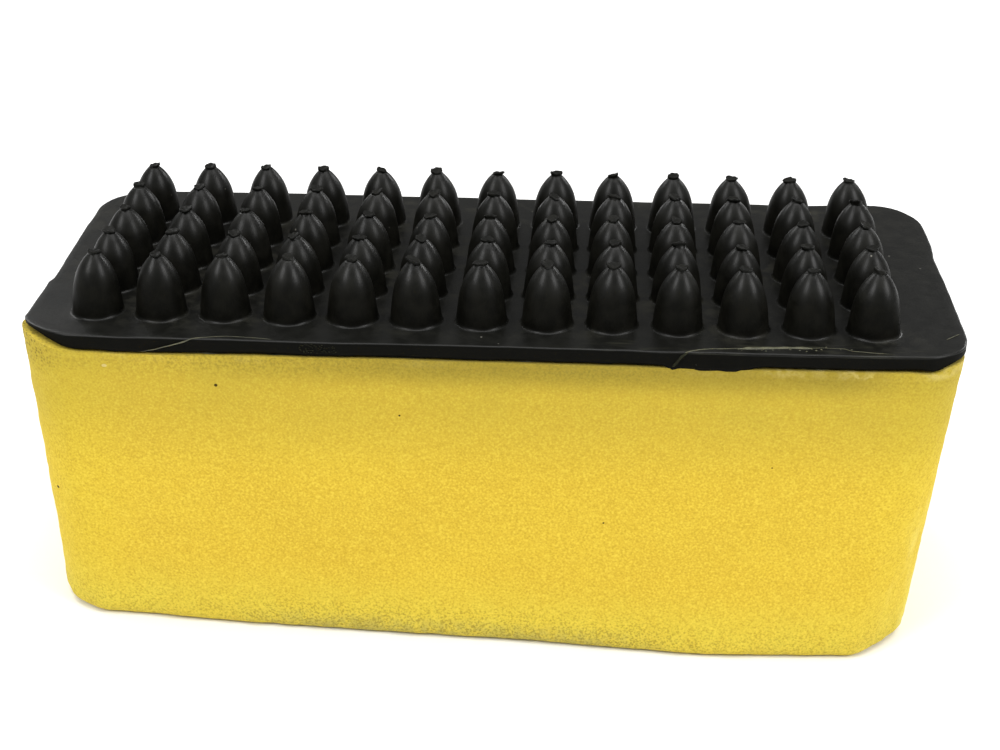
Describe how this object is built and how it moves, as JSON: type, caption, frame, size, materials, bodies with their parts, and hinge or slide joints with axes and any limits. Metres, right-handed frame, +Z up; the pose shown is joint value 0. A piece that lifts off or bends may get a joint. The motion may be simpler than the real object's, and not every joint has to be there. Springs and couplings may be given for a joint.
{
  "type": "chalkboard eraser",
  "caption": "Hand-held eraser: a block of open-cell foam with a black rubber pad of moulded, bullet-shaped studs bonded to its top face.",
  "frame": {"origin": "middle of the underside of the foam block, at the height of the surface that it stands on", "axes": "+X along the block towards its slightly taller end, +Y across the block, +Z up through the studs"},
  "size_m": [0.1666, 0.072, 0.0751],
  "materials": {
    "yellow_foam": "matte open-cell polyurethane foam, fine pores",
    "cured_cement": "cured contact cement, amber, slightly waxy",
    "black_rubber": "satin moulded rubber, a little dusty"
  },
  "bodies": {
    "foam": {"foam_block": "yellow_foam"},
    "pad": {"adhesive_film": "cured_cement", "stud_pad": "black_rubber"}
  },
  "joints": [
    {"name": "foam_squeeze", "type": "slide", "parent": "foam", "child": "pad", "axis": [0, 0, 1], "range_m": [-0.02, 0], "stiffness_N_per_m": 2000, "deforming": ["foam_block"]}
  ]
}
